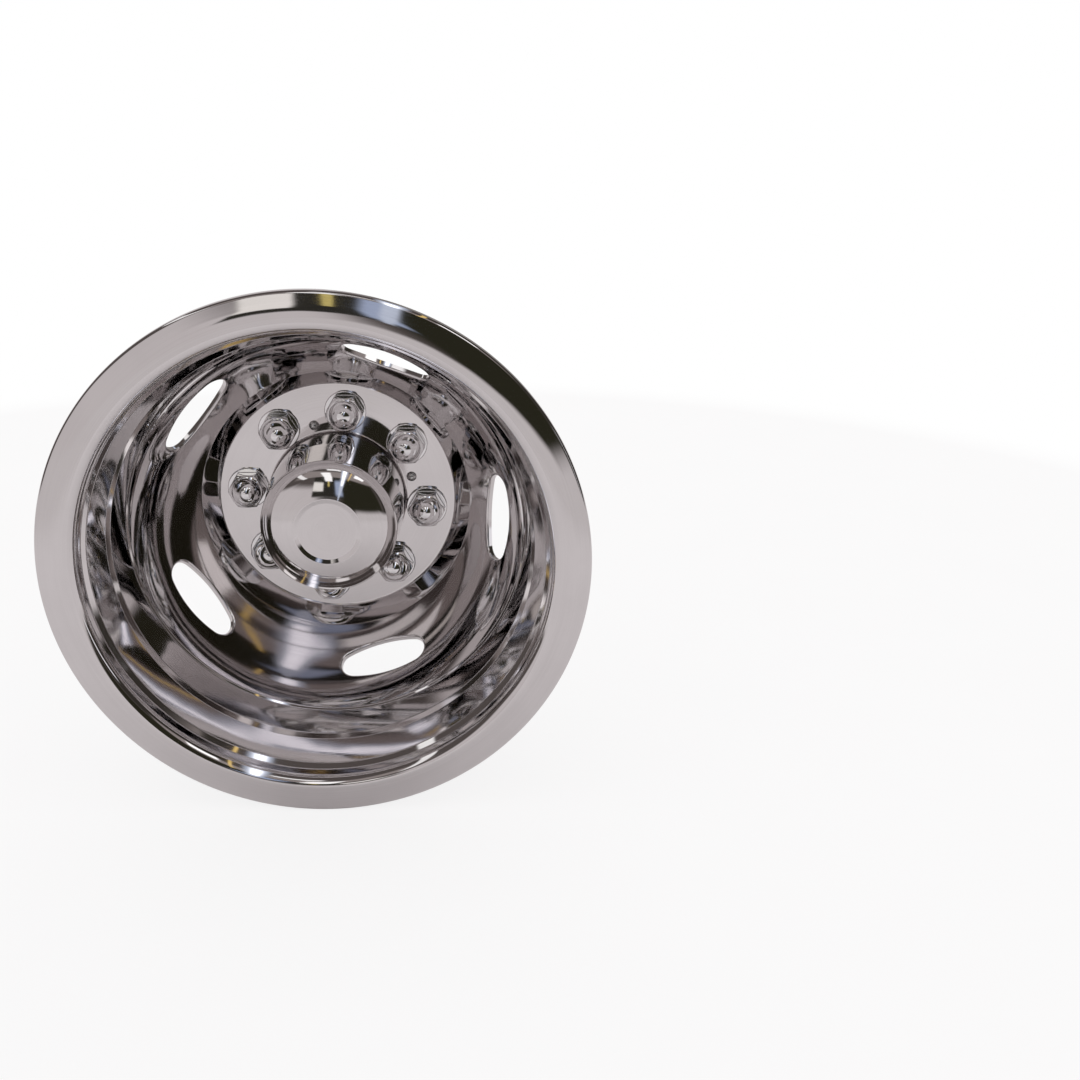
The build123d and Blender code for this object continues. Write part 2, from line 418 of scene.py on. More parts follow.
def pegs(name: str, radius: float, circle: float, start: float, count: int, low: float,
         high: float) -> bpy.types.Object:
    """Round pegs on a circle, to drill holes with.

    Args:
        name: Name of the new object.
        radius: Radius of a peg.
        circle: Radius of the circle that they stand on.
        start: Angle of the first one in degrees.
        count: How many there are.
        low: Height of their lower ends.
        high: Height of their upper ends.

    Returns:
        One object with all the pegs.
    """
    made = []
    for index in range(count):
        angle = math.radians(start + index * 360 / count)
        deselect_all()
        bpy.ops.mesh.primitive_cylinder_add(
            vertices=PEG_SIDES, radius=radius, depth=high - low,
            location=(circle * math.cos(angle), circle * math.sin(angle), (low + high) / 2))
        peg = bpy.context.object
        peg.name = name
        bpy.ops.object.transform_apply(location=True, rotation=True, scale=True)
        made.append(peg)
    return join(made[0], *made[1:])


@dataclass(frozen=True)
class WheelLayout:
    """What the covered wheel fixes: its studs, hand holes and rivets."""

    stud_circle: float = 165.1
    stud_count: int = 8
    hand_hole_count: int = 5
    rivet_circle: float = 142.0
    rivet_count: int = 4
    turned: float = 16.2
    sheet: float = 1.0

    @property
    def first_hand_hole(self) -> float:
        """Angle of the lowest hand hole in degrees."""
        return self.turned - 90

    @property
    def first_stud(self) -> float:
        """Angle of the first stud in degrees."""
        return self.first_hand_hole + 180 / self.stud_count

    def drill(self, piece: bpy.types.Object, stud_hole: float, rivet_hole: float, depth: float) -> None:
        """Drill a lying sheet at each stud and at each rivet of the hub cap.

        Args:
            piece: The sheet.
            stud_hole: Radius of the holes at the studs.
            rivet_hole: Radius of the holes at the rivets.
            depth: How far behind the lug seat's face the drills go.
        """
        cut(piece, pegs("stud_drill", stud_hole, self.stud_circle / 2, self.first_stud,
                        self.stud_count, -depth, self.sheet))
        cut(piece, pegs("rivet_drill", rivet_hole, self.rivet_circle / 2, self.first_hand_hole,
                        self.rivet_count, -depth, self.sheet))

    def places(self, circle: float, start: float, count: int) -> list[Vector]:
        """Centres on a circle, lying, in millimetres.

        Args:
            circle: Diameter of the circle.
            start: Angle of the first centre in degrees.
            count: How many there are.

        Returns:
            The centres.
        """
        angles = [math.radians(start + index * 360 / count) for index in range(count)]
        return [Vector((math.cos(a), math.sin(a), 0)) * (circle / 2) for a in angles]


@dataclass(frozen=True)
class HandHole:
    """One turned-in hand hole and the sector of the bowl round it.

    The outline is four arcs that meet smoothly, drawn on the plane that touches the bowl at the
    hole. The sector is a net of rings, from the collar's edge out to the sector's own edge.
    """

    face: Bend
    reach: float
    span: float
    sheet: float
    half_width: float = 16.5
    outer_bend: float = 140.0
    inner_bend: float = 90.0
    end_bend: float = 12.5
    collar_depth: float = 5.0
    collar_bend: float = 1.9
    root_bend: float = 1.0
    side_steps: int = 18
    seam_steps: int = 72
    face_rings: int = 10
    bend_rings: int = 7
    face_ease: float = 0.8
    back_ease: float = 1.25
    search_steps: int = 12

    def _middle(self) -> tuple[Vector, Vector, Vector, Vector]:
        """Centre of the hole, and its along, slant and backward directions.

        Returns:
            The centre and the three unit directions.
        """
        spot = self.face.point(self.reach, 1.0)
        out = spot.normal
        origin = Vector((spot.radius, 0, spot.height))
        along = Vector((0, 1, 0))
        back = Vector((out.x, 0, out.y))
        slant = Vector((-out.y, 0, out.x))
        return origin, along, slant, back

    def _outline(self, angle: float) -> tuple[Vector, Vector]:
        """Point and outward normal of the outline, both on its plane.

        Args:
            angle: Direction in the outline's stretched polar frame, in radians.

        Returns:
            The point and the unit normal there, along and up the slant.
        """
        half = self.half_width
        outer_y, inner_y = half - self.outer_bend, self.inner_bend - half
        outer_reach, inner_reach = self.outer_bend - self.end_bend, self.inner_bend - self.end_bend
        balance = outer_reach ** 2 - inner_reach ** 2 + inner_y ** 2 - outer_y ** 2
        end_y = balance / (2 * (inner_y - outer_y))
        end_x = math.sqrt(inner_reach ** 2 - (end_y - inner_y) ** 2)
        half_length = end_x + self.end_bend
        ray = Vector((half_length * math.cos(angle), half * math.sin(angle)))
        rounds = (
            (Vector((0, outer_y)), self.outer_bend),
            (Vector((0, inner_y)), self.inner_bend),
            (Vector((math.copysign(end_x, ray.x), end_y)), self.end_bend),
        )
        side = abs(ray.x)
        top_x = end_x * self.outer_bend / outer_reach
        low_x = end_x * self.inner_bend / inner_reach
        for (centre, radius), limit in zip(rounds, (top_x, low_x, None)):
            along = ray.dot(centre) / ray.dot(ray)
            spare = along ** 2 - (centre.dot(centre) - radius ** 2) / ray.dot(ray)
            if spare < 0:
                continue
            spot = ray * (along + math.sqrt(spare))
            wanted_side = centre.y < 0 < spot.y or spot.y < 0 < centre.y
            if limit is None or (wanted_side and abs(spot.x) <= limit):
                return spot, (spot - centre).normalized()
        return ray, Vector((math.copysign(1, side), 0))

    def _on_bowl(self, spot: Vector, depth: float) -> Vector:
        """Follow the cutting direction from the hole's plane to the bowl.

        Args:
            spot: Point on the plane, along and up the slant.
            depth: How far under the bowl's face.

        Returns:
            The place on the bowl.
        """
        origin, along, slant, back = self._middle()
        place = origin + along * spot.x + slant * spot.y
        for _ in range(self.search_steps):
            radial = math.hypot(place.x, place.y)
            gap = math.hypot(radial - self.face.centre.x, place.z - self.face.centre.y)
            place += back * (self.face.radius + depth - gap)
        return place

    def _bowl_spot(self, place: Vector) -> Vector:
        """Turning angle and bend angle of a place on the bowl.

        Args:
            place: The place, in millimetres.

        Returns:
            Both angles, in radians.
        """
        radial = math.hypot(place.x, place.y)
        spoke = math.atan2(place.z - self.face.centre.y, radial - self.face.centre.x)
        return Vector((math.atan2(place.y, place.x), spoke))

    def _from_spot(self, spot: Vector, depth: float) -> Vector:
        """Place on the bowl at a turning angle and a bend angle.

        Args:
            spot: Both angles, in radians.
            depth: How far under the bowl's face.

        Returns:
            The place, in millimetres.
        """
        reach = self.face.radius + depth
        radial = self.face.centre.x + reach * math.cos(spot.y)
        height = self.face.centre.y + reach * math.sin(spot.y)
        return Vector((radial * math.cos(spot.x), radial * math.sin(spot.x), height))

    def _edge_spots(self) -> list[Vector]:
        """Turning and bend angles of the sector's edge, once round.

        Returns:
            The angles, in radians.
        """
        half = self.span / 2
        low, high = sorted((self.face.start, self.face.start + self.face.turn))
        seam = [-half + self.span * step / self.seam_steps for step in range(self.seam_steps)]
        rise = [low + (high - low) * step / self.side_steps for step in range(self.side_steps)]
        bottom = [Vector((turn, low)) for turn in seam]
        right = [Vector((half, spoke)) for spoke in rise]
        top = [Vector((-turn, high)) for turn in seam]
        left = [Vector((-half, low + high - spoke)) for spoke in rise]
        return bottom + right + top + left

    def _share(self, place: Vector, normal: Vector) -> Vector:
        """A normal's radial, turning and axial share at a place.

        Args:
            place: The place, in millimetres.
            normal: The normal there.

        Returns:
            The three shares.
        """
        outwards = Vector((place.x, place.y, 0)).normalized()
        around = Vector((-outwards.y, outwards.x, 0))
        return Vector((normal.dot(outwards), normal.dot(around), normal.z))

    def _back_normal(self, spot: Vector) -> Vector:
        """The bowl's normal on its back, as its radial, turning and axial share."""
        return Vector((math.cos(spot.y), 0, math.sin(spot.y)))

    def _column(self, spot: Vector, point: Vector, away: Vector) -> list[tuple[Vector, Vector]]:
        """The sheet from the sector's edge over the face, the collar and the back to the edge.

        Args:
            spot: Turning and bend angle of the sector's edge.
            point: Point of the hole's outline, on its plane.
            away: The outline's outward normal there.

        Returns:
            Each place with its normal's radial, turning and axial share.
        """
        _, along, slant, back = self._middle()
        column: list[tuple[Vector, Vector]] = []
        inwards = -(along * away.x + slant * away.y)
        near = self._bowl_spot(self._on_bowl(point + away * self.collar_bend, 0))
        for ring in range(self.face_rings):
            mixed = spot.lerp(near, (ring / self.face_rings) ** self.face_ease)
            column.append((self._from_spot(mixed, 0), -self._back_normal(mixed)))
        begin = self._from_spot(near, 0)
        mouth = self._on_bowl(point, 0)
        bend_end = mouth + back * self.collar_bend
        for ring in range(self.bend_rings + 1):
            share = ring / self.bend_rings
            place = rounded(begin, mouth, bend_end, share, ROUND_WEIGHT)
            wall = self._share(place, inwards)
            column.append((place, (-self._back_normal(near)).lerp(wall, share).normalized()))
        lip = self._on_bowl(point, self.collar_depth)
        column.append((lip, self._share(lip, inwards)))
        outer = point + away * self.sheet
        rim = self._on_bowl(outer, self.collar_depth)
        column.append((rim, self._share(rim, -inwards)))
        root = self._on_bowl(outer, self.sheet)
        far = self._bowl_spot(self._on_bowl(outer + away * self.root_bend, self.sheet))
        root_start = root + back * self.root_bend
        root_end = self._from_spot(far, self.sheet)
        for ring in range(self.bend_rings):
            share = ring / self.bend_rings
            place = rounded(root_start, root, root_end, share, ROUND_WEIGHT)
            wall = self._share(place, -inwards)
            column.append((place, wall.lerp(self._back_normal(far), share).normalized()))
        for ring in range(self.face_rings + 1):
            mixed = far.lerp(spot, (ring / self.face_rings) ** self.back_ease)
            column.append((self._from_spot(mixed, self.sheet), self._back_normal(mixed)))
        return column

    def sector(self) -> bpy.types.Object:
        """Make the sector of the bowl round the hole, front, collar and back.

        Returns:
            The lying sector, whose middle is at turning angle zero.
        """
        centre = self._bowl_spot(self._middle()[0])
        half = self.span / 2
        low, high = sorted((self.face.start, self.face.start + self.face.turn))
        columns = []
        for spot in self._edge_spots():
            tall = (high - centre.y) if spot.y > centre.y else (centre.y - low)
            angle = math.atan2((spot.y - centre.y) / tall, spot.x / half)
            columns.append(self._column(spot, *self._outline(angle)))
        rings = list(zip(*columns))
        count = len(columns)
        points = [place for ring in rings for place, _ in ring]
        normals = [normal for ring in rings for _, normal in ring]
        faces = []
        for ring in range(len(rings) - 1):
            for step in range(count):
                after = (step + 1) % count
                faces.append((ring * count + step, ring * count + after,
                              (ring + 1) * count + after, (ring + 1) * count + step))
        return mesh_object("bowl_sector", points, [], faces, normals)


@dataclass
class Liner:
    """The pressed liner: rolled lip, stepped barrel, bowl with hand holes, and lug seat."""

    layout: WheelLayout
    lip_diameter: float = 444.4
    dish_depth: float = 186.3
    lip_skirt: float = 5.8
    crown_rise: float = 4.2
    crown_width: float = 16.4
    flange_width: float = 31.6
    shoulder_drop: float = 11.7
    shoulder_taper: float = 1.4
    throat_step: float = 3.8
    throat_drop: float = 4.4
    barrel_taper: float = 7.9
    barrel_length: float = 28.4
    ledge_step: float = 2.9
    ledge_drop: float = 5.3
    band_taper: float = 3.4
    bead_step: float = 1.9
    bead_drop: float = 2.1
    bowl_height: float = 97.3
    bowl_lean: float = 8.4
    bowl_belly: float = 48.8
    step_rise: float = 16.7
    step_run: float = 14.0
    seat_margin: float = 25.75
    centre_hole: float = 64.6
    stud_hole: float = 14.7
    rivet_hole: float = 2.1
    bends: tuple[float, ...] = (2.2, 48.0, 8.5, 3.0, 3.0, 3.0, 2.0, 2.0, 2.0, 128.0, 3.0, 3.0)
    hole_reach: float = 0.605
    spin_steps: int = 360

    def section(self) -> SheetSection:
        """The liner's section, from the edge of its lip to its centre hole.

        Returns:
            The section.
        """
        lip = self.lip_diameter / 2
        seat = self.layout.stud_circle / 2 + self.seat_margin
        crown = self.dish_depth + self.crown_rise
        shoulder = (lip - self.flange_width - self.shoulder_taper, self.dish_depth - self.shoulder_drop)
        barrel = (shoulder[0] - self.throat_step, shoulder[1] - self.throat_drop)
        ledge = (barrel[0] - self.barrel_taper, barrel[1] - self.barrel_length)
        band = (ledge[0] - self.ledge_step, ledge[1] - self.ledge_drop)
        bead = (band[0] - self.band_taper, self.bowl_height + self.bead_drop)
        head = (bead[0] - self.bead_step, self.bowl_height)
        corners = (
            (lip, self.dish_depth - self.lip_skirt),
            (lip, self.dish_depth),
            (lip - self.crown_width, crown),
            (lip - self.flange_width, crown),
            shoulder, barrel, ledge, band, bead, head,
            (head[0] - self.bowl_lean, self.bowl_belly),
            (seat + self.step_run, self.step_rise),
            (seat, 0.0),
            (self.centre_hole, 0.0),
        )
        return SheetSection(corners, self.bends, self.layout.sheet)

    def build(self) -> bpy.types.Object:
        """Make the whole liner, lying, as one closed sheet.

        Returns:
            The liner, in millimetres.
        """
        layout = self.layout
        section = self.section()
        belly = len(section.corners) - 4
        back = layout.sheet
        seam = math.radians(layout.first_hand_hole - 180 / layout.hand_hole_count)
        upper = section.line(back, 0, belly)[::-1] + section.line(0, 0, belly)
        lower = section.line(0, belly) + section.line(back, belly)[::-1]
        whole = spun("liner_shell", upper, self.spin_steps, seam)
        foot = spun("liner_foot", lower, self.spin_steps, seam)
        pitch = FULL_TURN / layout.hand_hole_count
        hole = HandHole(section.bend_at(belly, 0), self.hole_reach, pitch, back,
                        seam_steps=self.spin_steps // layout.hand_hole_count)
        sector = hole.sector()
        sector.data.transform(Matrix.Rotation(math.radians(layout.first_hand_hole), 4, "Z"))
        sectors = [sector] + [twin(sector) for _ in range(1, layout.hand_hole_count)]
        for index, part in enumerate(sectors):
            part.data.transform(Matrix.Rotation(pitch * index, 4, "Z"))
        join(whole, foot, *sectors)
        merge_close(whole)
        layout.drill(whole, self.stud_hole, self.rivet_hole, 2 * back)
        return whole


@dataclass
class HubCap:
    """The drawn hub cap: flange behind the seat, tall barrel, shallow dome and badge flat."""

    layout: WheelLayout
    diameter: float = 124.4
    straight: float = 40.0
    rim_height: float = 86.8
    taper: float = 2.7
    dome_run: float = 29.9
    dome_rise: float = 13.7
    dome_fullness: float = 19.7
    dome_swell: float = 11.4
    shoulder_run: float = 6.6
    shoulder_rise: float = 6.1
    badge_bevel: float = 3.9
    badge_recess: float = 1.2
    flange_width: float = 16.8
    notch: float = 17.3
    rivet_hole: float = 2.1
    bends: tuple[float, ...] = (2.2, 40.0, 6.3, 29.0, 94.0, 0.9, 0.9)
    spin_steps: int = 288

    def build(self) -> bpy.types.Object:
        """Make the hub cap, lying, as one closed sheet.

        Returns:
            The hub cap, in millimetres.
        """
        layout = self.layout
        radius = self.diameter / 2
        edge = radius - self.taper
        ring = (edge - self.dome_run, self.rim_height + self.dome_rise)
        flat = (ring[0] - self.badge_bevel, ring[1] - self.badge_recess)
        corners = (
            (radius + self.flange_width, -layout.sheet),
            (radius, -layout.sheet),
            (radius, self.straight),
            (edge, self.rim_height),
            (edge - self.shoulder_run, self.rim_height + self.shoulder_rise),
            (edge - self.dome_fullness, self.rim_height + self.dome_swell),
            ring,
            flat,
            (0.0, flat[1]),
        )
        section = SheetSection(corners, self.bends, layout.sheet)
        line = section.line(0)[::-1] + section.line(layout.sheet)
        hub = spun("hub_cap_shell", line, self.spin_steps)
        merge_close(hub)
        layout.drill(hub, self.notch, self.rivet_hole, 3 * layout.sheet)
        return hub


@dataclass
class NutCover:
    """A bright hollow cover over one lug nut: round skirt, hexagon, domed end and neck.

    Its outline is followed once round the hexagon, and each of its points carries a column of
    points from the neck up over the skirt, the hexagon and the dome, and down the socket.
    """

    layout: WheelLayout
    skirt_diameter: float = 38.0
    skirt_height: float = 2.4
    skirt_round: float = 1.1
    across_flats: float = 30.0
    corner_height: float = 11.5
    shoulder_height: float = 16.5
    shoulder_diameter: float = 26.4
    height: float = 26.5
    wall: float = 1.0
    socket_diameter: float = 27.0
    socket_foot: float = 1.0
    socket_depth: float = 12.0
    neck_bore: float = 27.6
    neck_wall: float = 0.8
    neck_length: float = 3.6
    corner_round: float = 1.3
    ridge_round: float = 0.7
    crease_round: float = 0.5
    round_weight: float = 0.7
    wall_shares: tuple[float, ...] = (0.35, 0.7)
    flat_steps: int = 12
    corner_steps: int = 5
    skirt_steps: int = 5
    envelope_steps: int = 5
    round_steps: int = 4
    dome_steps: int = 14

    @property
    def corner(self) -> float:
        """Half the width across the hexagon's sharp corners."""
        return self.across_flats / 2 / math.cos(math.radians(30))

    def _hexagon(self) -> list[tuple[Vector, Vector]]:
        """Points and normals once round the hexagon with its corners rounded.

        Returns:
            Each point with its unit normal.
        """
        found: list[tuple[Vector, Vector]] = []
        inset = self.corner_round / math.cos(math.radians(30))
        reach = self.corner_round * math.tan(math.radians(30))
        side = self.corner - 2 * reach
        for face in range(6):
            middle = math.radians(60 * face + 90)
            normal = Vector((math.cos(middle), math.sin(middle)))
            along = Vector((-normal.y, normal.x))
            for step in range(self.flat_steps):
                share = step / (self.flat_steps - 1) - 0.5
                found.append((normal * (self.across_flats / 2) + along * (side * share), normal))
            angle = middle + math.radians(30)
            centre = Vector((math.cos(angle), math.sin(angle))) * (self.corner - inset)
            for step in range(1, self.corner_steps):
                turn = middle + math.radians(60) * step / self.corner_steps
                way = Vector((math.cos(turn), math.sin(turn)))
                found.append((centre + way * self.corner_round, way))
        return found

    def _envelope(self) -> Bend:
        """Arc that rounds the hexagon's corners off towards the dome.

        Returns:
            The arc, from its foot up.
        """
        shoulder = self.shoulder_diameter / 2
        run, rise = self.corner - shoulder, self.shoulder_height - self.corner_height
        radius = (run ** 2 + rise ** 2) / (2 * run)
        end = math.atan2(rise, radius - run)
        return Bend(Vector((self.corner - radius, self.corner_height)), radius, 0.0, end)

    def _cap(self, radius: float, base: float, top: float, steps: int, side: float) -> list[LinePoint]:
        """A round cap's line from its edge to near the axle.

        Args:
            radius: Radius of the cap's edge.
            base: Height of the edge.
            top: Height of the cap's middle.
            steps: How many points it has.
            side: 1 where the metal lies under the line, -1 where it lies over it.

        Returns:
            The points, with their normals.
        """
        rise = top - base
        bend = (radius ** 2 + rise ** 2) / (2 * rise)
        start = math.asin((bend - rise) / bend)
        arc = Bend(Vector((0, top - bend)), bend, start, math.pi / 2 - start)
        return [arc.point(step / steps, side) for step in range(steps)]

    def _column(self, reach: float, wall: Vector) -> list[tuple[LinePoint, Vector]]:
        """The column at one point of the hexagon.

        Args:
            reach: How far that point is from the cover's axle.
            wall: The hexagon's normal there, as its radial and turning share.

        Returns:
            Each point with its normal's radial, turning and axial share.
        """
        low = -self.layout.sheet - self.neck_length
        skirt, neck = self.skirt_diameter / 2, self.neck_bore / 2 + self.neck_wall
        ring = Bend(Vector((skirt - self.skirt_round, self.skirt_height - self.skirt_round)),
                    self.skirt_round, 0.0, math.pi / 2)
        line: list[tuple[LinePoint, Vector]] = []

        def add(radius: float, height: float, normal: Vector) -> None:
            """Put a point at the end of the column."""
            line.append((LinePoint(radius, height, Vector((0, 0))), normal))

        def add_line(points: list[LinePoint]) -> None:
            """Put the points of a turned line at the end of the column."""
            for point in points:
                line.append((point, Vector((point.normal.x, 0, point.normal.y))))

        add(neck, low, Vector((1, 0, 0)))
        add(neck, 0.0, Vector((1, 0, 0)))
        add(skirt, 0.0, Vector((1, 0, 0)))
        add_line([ring.point(step / self.skirt_steps, 1.0) for step in range(self.skirt_steps + 1)])
        hex_wall = Vector((wall.x, wall.y, 0))
        up = Vector((0, 0, 1))
        self._soften(line, Vector((reach + self.crease_round, self.skirt_height)),
                     Vector((reach, self.skirt_height)),
                     Vector((reach, self.skirt_height + self.crease_round)), up, hex_wall)
        dome = self._envelope()
        ridge = math.acos(max(-1.0, min(1.0, (reach - dome.centre.x) / dome.radius)))
        over = min(1.0, (ridge + self.ridge_round / dome.radius) / dome.turn)
        ridge_height = dome.centre.y + dome.radius * math.sin(ridge)
        for share in self.wall_shares:
            add(reach, self.skirt_height + (ridge_height - self.skirt_height) * share, hex_wall)
        past = dome.point(over, 1.0)
        self._soften(line, Vector((reach, ridge_height - self.ridge_round)), Vector((reach, ridge_height)),
                     Vector((past.radius, past.height)), hex_wall,
                     Vector((past.normal.x, 0, past.normal.y)))
        cap = self._cap(self.shoulder_diameter / 2, self.shoulder_height, self.height, self.dome_steps, 1.0)
        before = dome.point(1.0 - self.crease_round / (dome.radius * dome.turn), 1.0)
        for step in range(1, self.envelope_steps):
            add_line([dome.point(over + (1 - over) * step / self.envelope_steps, 1.0)])
        tangent = Vector((-cap[0].normal.y, cap[0].normal.x))
        after = Vector((cap[0].radius, cap[0].height)) + tangent * self.crease_round
        self._soften(line, Vector((before.radius, before.height)), Vector((cap[0].radius, cap[0].height)),
                     after, Vector((before.normal.x, 0, before.normal.y)),
                     Vector((cap[0].normal.x, 0, cap[0].normal.y)))
        add_line(cap[1:])
        return line

    def _soften(self, line: list[tuple[LinePoint, Vector]], start: Vector, corner: Vector, end: Vector,
                first: Vector, last: Vector) -> None:
        """Round a corner of the column, with normals that turn from the first to the last.

        Args:
            line: The column, which gets the new points at its end.
            start: Radius and height where the round starts.
            corner: Radius and height of the sharp corner.
            end: Radius and height where the round ends.
            first: Normal before the corner.
            last: Normal after it.
        """
        for step in range(self.round_steps + 1):
            share = step / self.round_steps
            spot = rounded(start, corner, end, share, self.round_weight)
            line.append((LinePoint(spot.x, spot.y, Vector((0, 0))), first.lerp(last, share).normalized()))

    def _socket(self) -> list[tuple[LinePoint, Vector]]:
        """The socket, from the end of the neck up to near the axle.

        Returns:
            Each point with its normal's radial, turning and axial share.
        """
        low = -self.layout.sheet - self.neck_length
        bore, neck = self.socket_diameter / 2, self.neck_bore / 2
        tight = self.shoulder_diameter / 2 - self.wall
        top = self.socket_foot + self.socket_depth
        places = ((neck, low), (neck, 0.0), (bore, self.socket_foot), (bore, top),
                  (tight, self.shoulder_height))
        found = [(LinePoint(*place, Vector((0, 0))), Vector((-1, 0, 0))) for place in places]
        cap = self._cap(tight, self.shoulder_height, self.height - self.wall, self.dome_steps // 2, -1.0)
        return found + [(point, Vector((point.normal.x, 0, point.normal.y))) for point in cap[1:]]

    def build(self) -> bpy.types.Object:
        """Make one cover, lying, its lug seat at height zero.

        Returns:
            The cover, in millimetres.
        """
        ring = self._hexagon()
        socket = self._socket()
        points: list[Vector] = []
        normals: list[Vector] = []
        rows = 0
        for spot, wall in ring:
            out = spot.normalized()
            share = Vector((wall.dot(out), wall.dot(Vector((-out.y, out.x)))))
            column = socket[::-1] + self._column(spot.length, share)
            rows = len(column)
            angle = math.atan2(spot.y, spot.x)
            points += [point.at(angle) for point, _ in column]
            normals += [normal for _, normal in column]
        columns = len(ring)
        faces: list[tuple[int, ...]] = []
        for column in range(columns):
            here, beside = column * rows, (column + 1) % columns * rows
            faces += [(here + row, beside + row, beside + row + 1, here + row + 1)
                      for row in range(rows - 1)]
        ends = ((0, self.height - self.wall, -1.0), (rows - 1, self.height, 1.0))
        for row, height, side in ends:
            tip = len(points)
            points.append(Vector((0, 0, height)))
            normals.append(Vector((0, 0, side)))
            faces += [(column * rows + row, (column + 1) % columns * rows + row, tip)
                      for column in range(columns)]
        cover = mesh_object("nut_cover", points, [], faces, normals)
        merge_close(cover, 0.0005)
        return cover


@dataclass
class HubRivet:
    """A domed rivet that holds the hub cap under the liner."""

    layout: WheelLayout
    shank_diameter: float = 4.0
    head_diameter: float = 9.4
    head_height: float = 3.6
    tail_diameter: float = 6.8
    tail_height: float = 1.5
    tail_round: float = 0.5
    head_steps: int = 14
    tail_steps: int = 4
    sharp: float = 35.0
    spin_steps: int = 64

    def build(self) -> bpy.types.Object:
        """Make one rivet, lying, its head on the lug seat.

        Returns:
            The rivet, in millimetres.
        """
        head, shank, tail = self.head_diameter / 2, self.shank_diameter / 2, self.tail_diameter / 2
        bend = (head ** 2 + self.head_height ** 2) / (2 * self.head_height)
        start = math.asin((bend - self.head_height) / bend)
        deep = -2 * self.layout.sheet
        foot = deep - self.tail_height
        outline: list[Corner] = [(0.0, foot)]
        corner = (tail - self.tail_round, foot + self.tail_round)
        for step in range(self.tail_steps + 1):
            angle = math.radians(-90 + 90 * step / self.tail_steps)
            outline.append((corner[0] + self.tail_round * math.cos(angle),
                            corner[1] + self.tail_round * math.sin(angle)))
        outline += [(tail, deep), (shank, deep), (shank, 0.0), (head, 0.0)]
        for step in range(self.head_steps):
            angle = start + (math.pi / 2 - start) * step / self.head_steps
            outline.append((bend * math.cos(angle), self.head_height - bend + bend * math.sin(angle)))
        outline.append((0.0, self.head_height))
        points = [LinePoint(radius, height, Vector((0, 0))) for radius, height in outline]
        rivet = spun("hub_rivet", points, self.spin_steps)
        rivet.data.attributes.remove(rivet.data.attributes[LATHE_NORMAL])
        merge_close(rivet)
        take(rivet)
        bpy.ops.object.shade_smooth_by_angle(angle=math.radians(self.sharp))
        apply_modifiers(rivet)
        return rivet


class Slot(Enum):
    """Material slots of the record that the pieces take their finish from."""

    LINER = "polished_stainless"
    NUT_COVER = "bright_nut_cover"
    SPRING = "spring_steel"
    RIVET = "rivet_steel"


